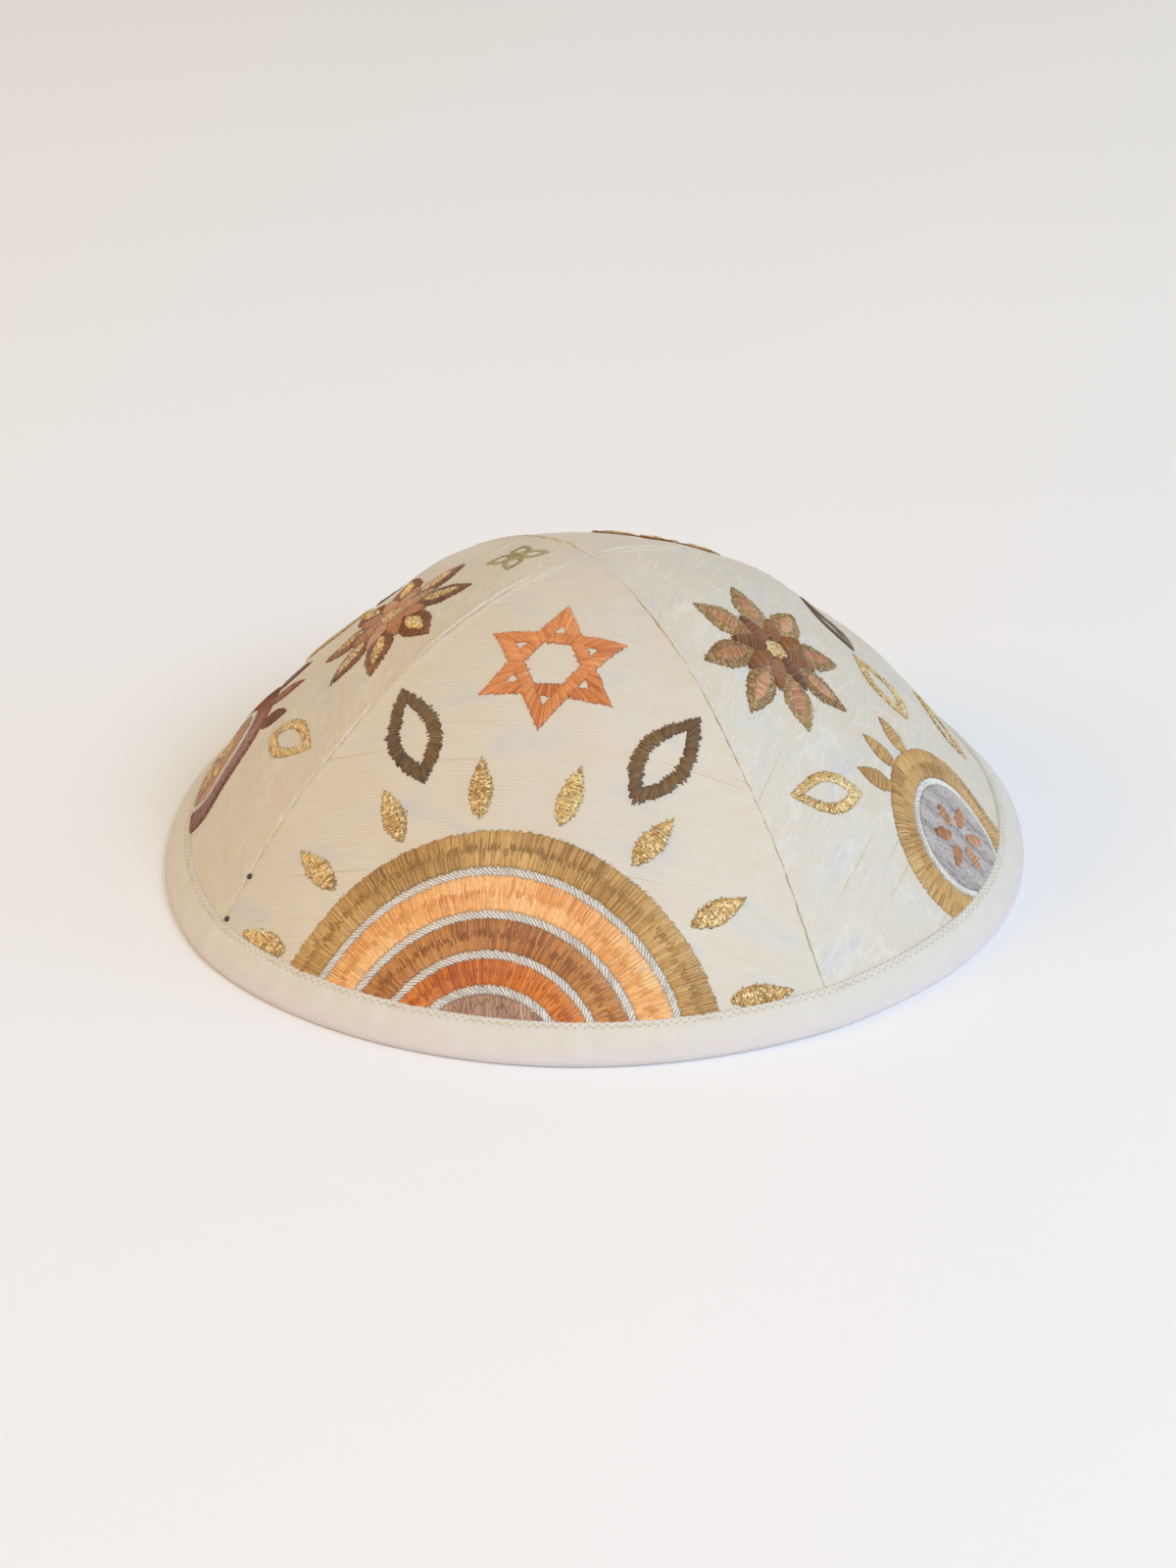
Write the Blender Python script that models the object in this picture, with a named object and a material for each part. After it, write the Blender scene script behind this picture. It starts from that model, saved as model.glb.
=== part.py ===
"""Domed skullcap sewn from four silk gores, with a folded tape binding round its rim.

Metres, +Z up. The cap stands on its rim at z = 0 with its crown on the Z axis.
Azimuth 0 faces -Y, the middle of the front gore, and grows towards +X. The seams
lie half-way between the gores, at 45, 135, 225 and 315 degrees.
"""

from math import asin, atan2, ceil, cos, exp, floor, hypot, pi, radians, sin

import bmesh
import bpy

# Driving dimensions, in metres and degrees
RIM_RADIUS = 0.0899       # outer face of the cloth, carried down to the floor
CROWN_HEIGHT = 0.0648     # top of the crown above the floor
WALL_THICKNESS = 0.0014   # silk, stiffening and backing pressed together
SEAM_GAP = 0.0003         # between the edges of neighbouring gores
TAPE_WIDTH = 0.0070       # each leg of the binding, measured up the cloth
TAPE_THICKNESS = 0.0006   # one leg of the folded tape
TAPE_CLEARANCE = 0.0003   # between the tape and the cloth inside it
FOOT_LIFT = 0.0014        # middle of the cloth's raw edge above the floor
GORE_NAMES = ("gore_front", "gore_right", "gore_back", "gore_left")

# How finely the surfaces are divided
GORE_COLUMNS = 16
GORE_ROWS = 24
BINDING_STATIONS = 64
TAPE_LEG_STEPS = 3
TAPE_FOLD_STEPS = 6

# Outline of the crown from its top to the rim.
# reach: distance from the axis, as a share of RIM_RADIUS
# drop: depth below the top, as a share of CROWN_HEIGHT
# ridge: how far the section is squared off between the seams, 0 round, 1 square
CROWN_SECTIONS = (
    {"reach": 0.00, "drop": 0.000, "ridge": 0.30},
    {"reach": 0.15, "drop": 0.027, "ridge": 0.27},
    {"reach": 0.30, "drop": 0.104, "ridge": 0.22},
    {"reach": 0.45, "drop": 0.224, "ridge": 0.17},
    {"reach": 0.60, "drop": 0.395, "ridge": 0.12},
    {"reach": 0.72, "drop": 0.541, "ridge": 0.08},
    {"reach": 0.82, "drop": 0.698, "ridge": 0.055},
    {"reach": 0.90, "drop": 0.841, "ridge": 0.04},
    {"reach": 0.96, "drop": 0.941, "ridge": 0.03},
    {"reach": 1.00, "drop": 1.000, "ridge": 0.02},
)

# The soft rim is a little out of round.
# out: how far it stands outside the true circle, as a share of RIM_RADIUS
RIM_OUT_OF_ROUND = (
    {"azimuth": 0, "out": -0.010},
    {"azimuth": 45, "out": -0.021},
    {"azimuth": 90, "out": -0.008},
    {"azimuth": 135, "out": 0.014},
    {"azimuth": 180, "out": -0.007},
    {"azimuth": 225, "out": 0.010},
    {"azimuth": 270, "out": 0.026},
    {"azimuth": 315, "out": 0.010},
)

# Soft dents and swellings of the cloth.
# level and depth: middle and spread as shares of the reach; width: spread in degrees
# out: how far the cloth stands out, as a share of RIM_RADIUS, negative for a dent
SWELLINGS = (
    {"azimuth": 232, "width": 24, "level": 0.50, "depth": 0.16, "out": 0.025},
    {"azimuth": 145, "width": 24, "level": 0.57, "depth": 0.16, "out": -0.015},
    {"azimuth": 112, "width": 18, "level": 0.80, "depth": 0.10, "out": -0.004},
    {"azimuth": 76, "width": 22, "level": 0.97, "depth": 0.10, "out": 0.019},
    {"azimuth": 282, "width": 26, "level": 0.97, "depth": 0.10, "out": -0.030},
    {"azimuth": 250, "width": 18, "level": 0.80, "depth": 0.10, "out": -0.009},
)

SILK_COLOUR = (0.74, 0.65, 0.52, 1.0)
TAPE_COLOUR = (0.79, 0.72, 0.62, 1.0)
SILK_ROUGHNESS = 0.62
TAPE_ROUGHNESS = 0.78
MERGE_DISTANCE = 1e-6


def hermite(y0, y1, slope0, slope1, span, share):
    """A cubic from y0 to y1 over span, with the given end slopes, at share of the way."""
    s2, s3 = share * share, share**3
    return (
        (2 * s3 - 3 * s2 + 1) * y0
        + (s3 - 2 * s2 + share) * span * slope0
        + (3 * s2 - 2 * s3) * y1
        + (s3 - s2) * span * slope1
    )


def from_sections(column, reach):
    """A column of CROWN_SECTIONS at any reach, on a smooth curve level at the top."""
    xs = [row["reach"] for row in CROWN_SECTIONS]
    ys = [row[column] for row in CROWN_SECTIONS]
    steps = [(ys[i + 1] - ys[i]) / (xs[i + 1] - xs[i]) for i in range(len(xs) - 1)]
    slopes = [0.0] + [(a + b) / 2 for a, b in zip(steps, steps[1:])] + [steps[-1]]
    last = len(xs) - 2
    i = max([k for k in range(len(xs) - 1) if xs[k] <= reach] or [0])
    i = min(i, last)
    span = xs[i + 1] - xs[i]
    share = (reach - xs[i]) / span
    return hermite(ys[i], ys[i + 1], slopes[i], slopes[i + 1], span, share)


def out_of_round(azimuth):
    """RIM_OUT_OF_ROUND at any azimuth, smooth all the way round."""
    count = len(RIM_OUT_OF_ROUND)
    step = 360 / count
    place = (azimuth % 360) / step
    i = floor(place)
    before, here, after, beyond = (
        RIM_OUT_OF_ROUND[(i + k) % count]["out"] for k in (-1, 0, 1, 2)
    )
    slope_here = (after - before) / (2 * step)
    slope_after = (beyond - here) / (2 * step)
    return hermite(here, after, slope_here, slope_after, step, place - i)


def swelling(azimuth, level):
    """The sum of SWELLINGS at a place on the cloth, as a share of RIM_RADIUS."""
    total = 0.0
    for row in SWELLINGS:
        turn = (azimuth - row["azimuth"] + 180) % 360 - 180
        across = turn / row["width"]
        along = (level - row["level"]) / row["depth"]
        total += row["out"] * exp(-across * across - along * along)
    return total


def cloth_profile(azimuth, level):
    """(distance from the axis, height) of the cloth's outer face.

    level is 0 at the top of the crown and 1 where the face would meet the floor.
    """
    from_middle = (azimuth + 45) % 90 - 45
    squared = 1 + from_sections("ridge", level) * (1 / cos(radians(from_middle)) - 1)
    shape = squared + level**2 * out_of_round(azimuth)
    reach = RIM_RADIUS * (level * shape + swelling(azimuth, level) * min(1, 4 * level))
    height = CROWN_HEIGHT * (1 - from_sections("drop", level))
    return reach, height


def cloth_normal(azimuth, level):
    """Unit normal of the outer face in the plane of its azimuth, as (out, up)."""
    step = 0.004
    low = max(level - step, 0.0)
    r0, z0 = cloth_profile(azimuth, low)
    r1, z1 = cloth_profile(azimuth, low + 2 * step)
    length = hypot(r1 - r0, z1 - z0)
    return (z0 - z1) / length, (r1 - r0) / length


def profile_point(azimuth, level, depth):
    """(distance from the axis, height) at depth below the cloth's outer face."""
    reach, height = cloth_profile(azimuth, level)
    out, up = cloth_normal(azimuth, level)
    return reach - out * depth, height - up * depth


def level_where(azimuth, wanted, measure):
    """The level, by halving, at which a measure that grows with level reaches wanted."""
    low, high = 0.0, 1.0
    for _ in range(40):
        middle = (low + high) / 2
        if measure(azimuth, middle) < wanted:
            low = middle
        else:
            high = middle
    return (low + high) / 2


def raw_edge_level(azimuth):
    """Where the cloth ends: the middle of its edge is FOOT_LIFT above the floor."""
    return level_where(
        azimuth,
        -FOOT_LIFT,
        lambda a, level: -profile_point(a, level, WALL_THICKNESS / 2)[1],
    )


def level_up_the_cloth(azimuth, start, distance):
    """The level that lies distance up the outer face from the level start."""
    step = 0.002
    level, gone = start, 0.0
    while gone < distance and level > step:
        r0, z0 = cloth_profile(azimuth, level)
        r1, z1 = cloth_profile(azimuth, level - step)
        gone += hypot(r1 - r0, z1 - z0)
        level -= step
    return level


def spread(first, last, count):
    """count + 1 evenly spaced values from first to last."""
    return [first + (last - first) * i / count for i in range(count + 1)]


def turned(azimuth, reach, height):
    """The point at a distance from the axis and a height, in an azimuth's plane."""
    a = radians(azimuth)
    return reach * sin(a), -reach * cos(a), height


def new_material(name, colour, roughness):
    material = bpy.data.materials.new(name)
    material.use_nodes = True
    shader = material.node_tree.nodes["Principled BSDF"]
    shader.inputs["Base Color"].default_value = colour
    shader.inputs["Roughness"].default_value = roughness
    shader.inputs["Metallic"].default_value = 0.0
    return material


def add_object(name, bm, material, collection):
    """Closes the mesh's doubled points and adds it to the collection."""
    bmesh.ops.remove_doubles(bm, verts=bm.verts, dist=MERGE_DISTANCE)
    bmesh.ops.recalc_face_normals(bm, faces=bm.faces)
    mesh = bpy.data.meshes.new(name)
    bm.to_mesh(mesh)
    bm.free()
    mesh.materials.append(material)
    mesh.shade_smooth()
    mesh.set_sharp_from_angle(angle=radians(40))
    made = bpy.data.objects.new(name, mesh)
    collection.objects.link(made)
    return made


def loft_loops(bm, loops, closed):
    """Joins neighbouring loops of points by quads; closed joins the last to the first."""
    rings = [[bm.verts.new(p) for p in loop] for loop in loops]
    pairs = list(zip(rings, rings[1:]))
    if closed:
        pairs.append((rings[-1], rings[0]))
    for a, b in pairs:
        for i in range(len(a)):
            k = (i + 1) % len(a)
            bm.faces.new((a[i], a[k], b[k], b[i]))
    return rings


def gore_loop(gore_azimuth, across):
    """One slice of a gore from its tip to its raw edge and back, in the gore's own frame.

    across runs from -1 at the left seam to 1 at the right one. The slices at the
    seams stay half a SEAM_GAP inside the seam's plane, and all meet at the tip.
    """
    half_gore = 180 / len(GORE_NAMES)
    half_gap = SEAM_GAP / 2
    tip_reach = half_gap / sin(radians(half_gore))
    tip_level = level_where(
        gore_azimuth, tip_reach, lambda a, level: cloth_profile(a, level)[0]
    )
    edge_level = raw_edge_level(gore_azimuth + across * half_gore)
    outer, inner = [], []
    for share in spread(0, 1, GORE_ROWS):
        level = tip_level + (edge_level - tip_level) * share
        seam_reach = cloth_profile(gore_azimuth + half_gore, level)[0]
        seam_inset = asin(min(1, half_gap / max(seam_reach, half_gap)))
        local = 0.0 if share == 0 else across * (half_gore - seam_inset * 180 / pi)
        azimuth = gore_azimuth + local
        for points, depth in ((outer, 0), (inner, WALL_THICKNESS)):
            reach, height = profile_point(azimuth, level, depth)
            points.append(turned(local, tip_reach if share == 0 else reach, height))
    return outer + inner[::-1]


def close_ends(bm, ring):
    """Closes a slice, which runs out and back, with a strip of quads."""
    half = len(ring) // 2
    for i in range(half - 1):
        bm.faces.new((ring[i], ring[i + 1], ring[-i - 2], ring[-i - 1]))


def make_gore(name, azimuth, material, collection):
    """A cloth gore: a curved wall that tapers to a point at the crown."""
    bm = bmesh.new()
    loops = [gore_loop(azimuth, across) for across in spread(-1, 1, GORE_COLUMNS)]
    rings = loft_loops(bm, loops, closed=False)
    close_ends(bm, rings[0])
    close_ends(bm, rings[-1])
    made = add_object(name, bm, material, collection)
    made.rotation_euler.z = radians(azimuth)
    return made


def tape_loop(azimuth):
    """The folded tape's section at one azimuth: a U round the cloth's raw edge.

    Its fold is pressed flat where the cap stands on it.
    """
    edge = raw_edge_level(azimuth)
    top = level_up_the_cloth(azimuth, edge, TAPE_WIDTH)
    centre_r, centre_z = profile_point(azimuth, edge, WALL_THICKNESS / 2)
    out, up = cloth_normal(azimuth, edge)
    inner_radius = WALL_THICKNESS / 2 + TAPE_CLEARANCE
    outer_radius = inner_radius + TAPE_THICKNESS
    legs = spread(top, edge, TAPE_LEG_STEPS)
    straight = atan2(up, out)

    def leg(radius, side):
        depth = WALL_THICKNESS / 2 - side * radius
        return [profile_point(azimuth, level, depth) for level in legs[:-1]]

    def fold(radius):
        turns = spread(straight, straight - pi, TAPE_FOLD_STEPS)
        return [(centre_r + radius * cos(t), centre_z + radius * sin(t)) for t in turns]

    outside = leg(outer_radius, 1) + fold(outer_radius) + leg(outer_radius, -1)[::-1]
    inside = leg(inner_radius, 1) + fold(inner_radius) + leg(inner_radius, -1)[::-1]
    section = outside + inside[::-1]
    return [turned(azimuth, reach, max(height, 0.0)) for reach, height in section]


def make_binding(material, collection):
    """The tape that wraps the raw edges of all four gores."""
    bm = bmesh.new()
    stations = spread(0, 360, BINDING_STATIONS)[:-1]
    loft_loops(bm, [tape_loop(azimuth) for azimuth in stations], closed=True)
    return add_object("rim_binding", bm, material, collection)


def main():
    for old in list(bpy.data.objects):
        bpy.data.objects.remove(old)
    cap = bpy.data.collections.new("skullcap")
    bpy.context.scene.collection.children.link(cap)
    silk = new_material("ivory_silk", SILK_COLOUR, SILK_ROUGHNESS)
    tape = new_material("ivory_tape", TAPE_COLOUR, TAPE_ROUGHNESS)
    for i, name in enumerate(GORE_NAMES):
        make_gore(name, i * 360 / len(GORE_NAMES), silk, cap)
    make_binding(tape, cap)


main()
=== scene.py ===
"""Silk skullcap: four embroidered gores and a stitched tape binding, on a pale floor.

The cap stands on its rim at z = 0 with its crown on the Z axis. Azimuth 0 faces -Y,
the middle of the front gore, and grows towards +X. A place on a gore is also given
flat, in millimetres from the crown: x to the right and y down the gore's middle.
"""

from math import cos, pi, radians, sin, tau

import bmesh
import bpy
import numpy as np
from mathutils import Matrix, Vector


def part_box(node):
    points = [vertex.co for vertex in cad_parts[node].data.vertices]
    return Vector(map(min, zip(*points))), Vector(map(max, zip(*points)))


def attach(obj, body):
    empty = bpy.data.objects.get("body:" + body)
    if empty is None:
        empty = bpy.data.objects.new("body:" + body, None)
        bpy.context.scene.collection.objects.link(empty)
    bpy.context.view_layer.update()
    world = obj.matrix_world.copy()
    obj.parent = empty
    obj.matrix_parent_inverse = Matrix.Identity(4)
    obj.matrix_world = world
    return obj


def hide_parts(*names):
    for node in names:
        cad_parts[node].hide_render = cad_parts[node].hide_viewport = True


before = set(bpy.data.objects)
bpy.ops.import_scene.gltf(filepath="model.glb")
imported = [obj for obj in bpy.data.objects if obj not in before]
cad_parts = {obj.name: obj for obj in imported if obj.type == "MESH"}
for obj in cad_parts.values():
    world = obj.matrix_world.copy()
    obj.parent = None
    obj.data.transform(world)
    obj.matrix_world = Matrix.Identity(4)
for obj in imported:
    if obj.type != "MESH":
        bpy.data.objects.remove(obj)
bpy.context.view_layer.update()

bl_info = {
    "name": "Silk Skullcap",
    "version": (1, 0, 0),
    "blender": (4, 5, 0),
    "location": "3D View > Sidebar > Skullcap",
    "description": "Makes a four-gore silk cap with embroidery and a tape binding",
    "category": "Add Mesh",
}

MM = 0.001
TAPE_JOINT = 148  # azimuth at which the tape's two ends meet, at the back
CROWN_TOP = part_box("gore_front")[1][2]
GORES = ("front", "right", "back", "left")

# Outline of the crown from its top to the rim, as shares of the radius and height.
CROWN_SECTIONS = (
    {"reach": 0.00, "drop": 0.000, "ridge": 0.30},
    {"reach": 0.15, "drop": 0.027, "ridge": 0.27},
    {"reach": 0.30, "drop": 0.104, "ridge": 0.22},
    {"reach": 0.45, "drop": 0.224, "ridge": 0.17},
    {"reach": 0.60, "drop": 0.395, "ridge": 0.12},
    {"reach": 0.72, "drop": 0.541, "ridge": 0.08},
    {"reach": 0.82, "drop": 0.698, "ridge": 0.055},
    {"reach": 0.90, "drop": 0.841, "ridge": 0.04},
    {"reach": 0.96, "drop": 0.941, "ridge": 0.03},
    {"reach": 1.00, "drop": 1.000, "ridge": 0.02},
)
# How far the rim stands outside a true circle, every 45 degrees from azimuth 0
RIM_OUT_OF_ROUND = (-0.010, -0.021, -0.008, 0.014, -0.007, 0.010, 0.026, 0.010)
# Soft dents and swellings of the cloth
SWELLINGS = (
    {"azimuth": 232, "width": 24, "level": 0.50, "depth": 0.16, "out": 0.025},
    {"azimuth": 145, "width": 24, "level": 0.57, "depth": 0.16, "out": -0.015},
    {"azimuth": 112, "width": 18, "level": 0.80, "depth": 0.10, "out": -0.004},
    {"azimuth": 76, "width": 22, "level": 0.97, "depth": 0.10, "out": 0.019},
    {"azimuth": 282, "width": 26, "level": 0.97, "depth": 0.10, "out": -0.030},
    {"azimuth": 250, "width": 18, "level": 0.80, "depth": 0.10, "out": -0.009},
)


def linear(hex_colour):
    """An sRGB hex colour as linear red, green, blue and alpha."""
    parts = [int(hex_colour[i : i + 2], 16) / 255 for i in (1, 3, 5)]
    return tuple(c / 12.92 if c <= 0.04045 else ((c + 0.055) / 1.055) ** 2.4 for c in parts) + (1.0,)


def length_prop(name, description, default):
    return bpy.props.FloatProperty(
        name=name, description=description, default=default, unit="LENGTH", precision=5
    )


def colour_prop(name, description, hex_colour):
    return bpy.props.FloatVectorProperty(
        name=name, description=description, default=linear(hex_colour), size=4, subtype="COLOR"
    )


class CapSizes(bpy.types.PropertyGroup):
    """Sizes of the cloth and of the binding."""

    rim_radius: length_prop("Rim radius", "Outer face of the cloth, carried down to the floor", 0.0899)
    crown_height: length_prop("Crown height", "Top of the crown above the floor", CROWN_TOP)
    wall: length_prop("Wall", "Silk, stiffening and backing pressed together", 0.0014)
    tape_width: length_prop("Tape width", "Each leg of the binding, up the cloth", 0.0070)
    tape_thickness: length_prop("Tape thickness", "One leg of the folded tape", 0.0006)
    foot_lift: length_prop("Foot lift", "Middle of the raw edge above the floor", 0.0014)
    seam_roll: length_prop("Seam roll", "Radius of the turned edges at a seam", 0.0003)
    seam_gap: length_prop("Seam gap", "Between the turned edges of two gores", 0.00004)


class StitchSizes(bpy.types.PropertyGroup):
    """Sizes of the sewing and of the embroidery."""

    edge_pitch: length_prop("Edge stitch pitch", "From one edge stitch to the next", 0.00092)
    edge_inset: length_prop("Edge stitch inset", "Stitch line below the tape's edge", 0.00100)
    edge_zigzag: length_prop("Edge zigzag", "Half the height of the edge stitches", 0.00030)
    sewing_thread: length_prop("Sewing thread", "Thickness of the sewing thread", 0.00030)
    seam_pitch: length_prop("Seam stitch pitch", "From one seam stitch to the next", 0.0026)
    embroidery_pitch: length_prop("Embroidery pitch", "Between neighbouring strands", 0.00026)
    embroidery_thread: length_prop("Embroidery thread", "Radius of a strand", 0.00019)
    strand_sides: bpy.props.IntProperty(
        name="Strand sides", description="Faces round an embroidery strand", default=4, min=3
    )


class ClothColours(bpy.types.PropertyGroup):
    """Colours of the silk and the tape."""

    silk: colour_prop("Silk", "Ground colour of the silk", "#d5cebf")
    # Silk shade is painted shade: the colour laid between the ribs, where they shade each other.
    silk_painted_rib_shade: colour_prop("Silk shade", "Between the ribs of the silk", "#beb39c")
    slub: colour_prop("Slub", "Thick places in the weft", "#b8a680")
    backing: colour_prop("Backing", "Inside of the cap", "#e6dfd0")
    tape: colour_prop("Tape", "Binding tape", "#dedacf")
    # Tape shade is painted shade, laid in the tape's creases.
    tape_painted_crease_shade: colour_prop("Tape shade", "Creases of the binding tape", "#c5bcb1")
    sewing: colour_prop("Sewing thread", "Thread of the seams and edges", "#e2d8bf")


def catmull(y, i, share):
    """A smooth closed curve through y at place i and a share of the way on."""
    count = len(y)
    before, here, after, beyond = (y[(i + k) % count] for k in (-1, 0, 1, 2))
    m0, m1 = (after - before) / 2, (beyond - here) / 2
    s2, s3 = share**2, share**3
    rising = 3 * s2 - 2 * s3
    return (1 - rising) * here + rising * after + (s3 - 2 * s2 + share) * m0 + (s3 - s2) * m1


class CapSurface:
    """The cloth's outer face, by azimuth in degrees and level from crown to rim."""

    def __init__(self, sizes):
        self.radius, self.height = sizes.rim_radius, sizes.crown_height
        self.wall = sizes.wall
        self.levels = np.linspace(0, 1, 1001)
        self.drop = self.column("drop")
        self.ridge = self.column("ridge")
        run, fall = np.diff(self.levels) * self.radius, np.diff(self.drop) * self.height
        self.arc = np.concatenate([[0], np.cumsum(np.hypot(run, fall))])
        self.edge_azimuths = np.arange(0.0, 361.0, 2.0)
        top = self.edge_levels(self.edge_azimuths, sizes.foot_lift, sizes.tape_width)[1]
        self.edge_far = np.interp(top, self.levels, self.arc) / MM

    def tape_edge(self, azimuth):
        """How far the tape's upper edge is from the crown, along the cloth in millimetres."""
        return np.interp(azimuth % 360, self.edge_azimuths, self.edge_far)

    def column(self, name):
        """A column of CROWN_SECTIONS at every level, on a smooth curve level at the top."""
        xs = np.array([row["reach"] for row in CROWN_SECTIONS])
        ys = np.array([row[name] for row in CROWN_SECTIONS])
        steps = np.diff(ys) / np.diff(xs)
        slopes = np.concatenate([[0], (steps[1:] + steps[:-1]) / 2, [steps[-1]]])
        i = np.clip(np.searchsorted(xs, self.levels, "right") - 1, 0, len(xs) - 2)
        span = xs[i + 1] - xs[i]
        s = (self.levels - xs[i]) / span
        return (
            (2 * s**3 - 3 * s**2 + 1) * ys[i]
            + (s**3 - 2 * s**2 + s) * span * slopes[i]
            + (3 * s**2 - 2 * s**3) * ys[i + 1]
            + (s**3 - s**2) * span * slopes[i + 1]
        )

    def profile(self, azimuth, level):
        """Distance from the axis, and height."""
        from_middle = (azimuth + 45) % 90 - 45
        ridge = np.interp(level, self.levels, self.ridge)
        squared = 1 + ridge * (1 / np.cos(np.radians(from_middle)) - 1)
        place = (azimuth % 360) / 45
        i = np.floor(place).astype(int)
        shape = squared + level**2 * catmull(np.array(RIM_OUT_OF_ROUND), i, place - i)
        swell = 0.0
        for row in SWELLINGS:
            turn = (azimuth - row["azimuth"] + 180) % 360 - 180
            spread = (turn / row["width"]) ** 2 + ((level - row["level"]) / row["depth"]) ** 2
            swell = swell + row["out"] * np.exp(-spread)
        reach = self.radius * (level * shape + swell * np.minimum(1, 4 * level))
        return reach, self.height * (1 - np.interp(level, self.levels, self.drop))

    def normal(self, azimuth, level):
        """Unit normal in the plane of the azimuth, as (out, up)."""
        low = np.maximum(level - 0.004, 0)
        r0, z0 = self.profile(azimuth, low)
        r1, z1 = self.profile(azimuth, low + 0.008)
        length = np.hypot(r1 - r0, z1 - z0)
        return (z0 - z1) / length, (r1 - r0) / length

    def point(self, azimuth, level, lift):
        """Points at a lift off the face, shape (..., 3)."""
        reach, height = self.profile(azimuth, level)
        out, up = self.normal(azimuth, level)
        reach, height = reach + out * lift, height + up * lift
        turn = np.radians(azimuth)
        return np.stack([reach * np.sin(turn), -reach * np.cos(turn), height], axis=-1)

    def to_flat(self, local, level):
        """Flat x and y in millimetres, for degrees from the gore's middle and a level."""
        far = np.interp(level, self.levels, self.arc)
        turn = np.radians(local) * self.radius * level / np.maximum(far, 1e-9)
        return far * np.sin(turn) / MM, far * np.cos(turn) / MM

    def from_flat(self, x, y):
        """Degrees from the gore's middle and the level, for a flat place."""
        far = np.hypot(x, y) * MM
        level = np.interp(far, self.arc, self.levels)
        share = far / np.maximum(self.radius * level, 1e-9)
        return np.degrees(np.arctan2(x, y) * share), level

    def edge_levels(self, azimuth, foot_lift, width):
        """Levels of the raw edge and of the tape's upper edge, for an array of azimuths."""
        spread = np.linspace(0.8, 1.0, 401)
        grid_azimuth, grid_level = np.meshgrid(azimuth, spread, indexing="ij")
        middle = self.point(grid_azimuth, grid_level, -self.wall / 2)[..., 2]
        raw, top = [], []
        for row in middle:
            raw.append(np.interp(-foot_lift, -row, spread))
            far = np.interp(raw[-1], self.levels, self.arc) - width
            top.append(np.interp(far, self.arc, self.levels))
        return np.array(raw), np.array(top)


def ripple(surface, gore, local, x, y, seam_distance):
    """How far the cloth lifts off its smooth form, in metres: soft waves, and puckers and
    a ridge along the seams. The tape holds the cloth flat."""
    rng = np.random.default_rng(20 + gore)
    lift = 0.0
    for _ in range(7):
        wavelength, heading, phase = rng.uniform(16, 42), rng.uniform(0, pi), rng.uniform(0, tau)
        along = x * cos(heading) + y * sin(heading)
        lift = lift + 0.075 * np.sin(tau * along / wavelength + phase)
    far = np.hypot(x, y)
    pucker = np.sin(tau * far / 5.3 + 2.2 * np.sin(far / 9.0 + gore)) * np.exp(-seam_distance / 3.2)
    ridge = 0.20 * np.exp(-(((seam_distance - 0.75) / 0.6) ** 2))
    free = np.clip((surface.tape_edge(local + 90 * gore) - far) / 5, 0, 1) ** 0.7
    return (lift + 0.11 * pucker + ridge) * np.minimum(1, far / 6) * free * MM


def add_node(tree, kind, inputs=None, **settings):
    """Adds a node, sets its properties, and sets or links its inputs."""
    node = tree.nodes.new(kind)
    for name, value in settings.items():
        setattr(node, name, value)
    for name, value in (inputs or {}).items():
        socket = node.inputs[name]
        if isinstance(value, bpy.types.NodeSocket):
            tree.links.new(value, socket)
        else:
            socket.default_value = value
    return node


def new_material(name, **shader_values):
    """A material with one Principled shader, its node tree and its shader."""
    material = bpy.data.materials.new(name)
    material.use_nodes = True
    shader = material.node_tree.nodes["Principled BSDF"]
    for socket, value in shader_values.items():
        shader.inputs[socket.replace("_", " ")].default_value = value
    return material, material.node_tree, shader


def colour_ramp(tree, factor, stops):
    ramp = add_node(tree, "ShaderNodeValToRGB", {"Fac": factor})
    elements = ramp.color_ramp.elements
    while len(elements) < len(stops):
        elements.new(0.5)
    for element, (place, colour) in zip(elements, stops):
        element.position = place
        element.color = colour
    return ramp.outputs["Color"]


def scaled_vector(tree, vector, size):
    """Flat millimetres divided by a size along x and y."""
    scale = (1 / size[0], 1 / size[1], 1)
    return add_node(tree, "ShaderNodeMapping", {"Vector": vector, "Scale": scale}).outputs[0]


def scaled_noise(tree, vector, size, detail=2.0):
    """Noise on flat millimetres, with the size of a patch along x and y."""
    stretched = scaled_vector(tree, vector, size)
    noise = add_node(tree, "ShaderNodeTexNoise", {"Vector": stretched, "Scale": 1.0, "Detail": detail})
    return noise.outputs["Fac"]


def step_up(tree, value, low, high):
    """0 below low, 1 above high, and smooth between them."""
    inputs = {"Value": value, "From Min": low, "From Max": high}
    return add_node(tree, "ShaderNodeMapRange", inputs, interpolation_type="SMOOTHSTEP").outputs[0]


def mixed(tree, factor, first, second, blend="MIX"):
    """Two colours mixed by a factor: sockets 0, 6 and 7 of the node are its colour ones."""
    inputs = {0: factor, 6: first, 7: second}
    return add_node(tree, "ShaderNodeMix", inputs, data_type="RGBA", blend_type=blend).outputs[2]


def calculated(tree, operation, first, second=0.0, third=0.0):
    inputs = {0: first, 1: second, 2: third}
    return add_node(tree, "ShaderNodeMath", inputs, operation=operation).outputs[0]


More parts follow.
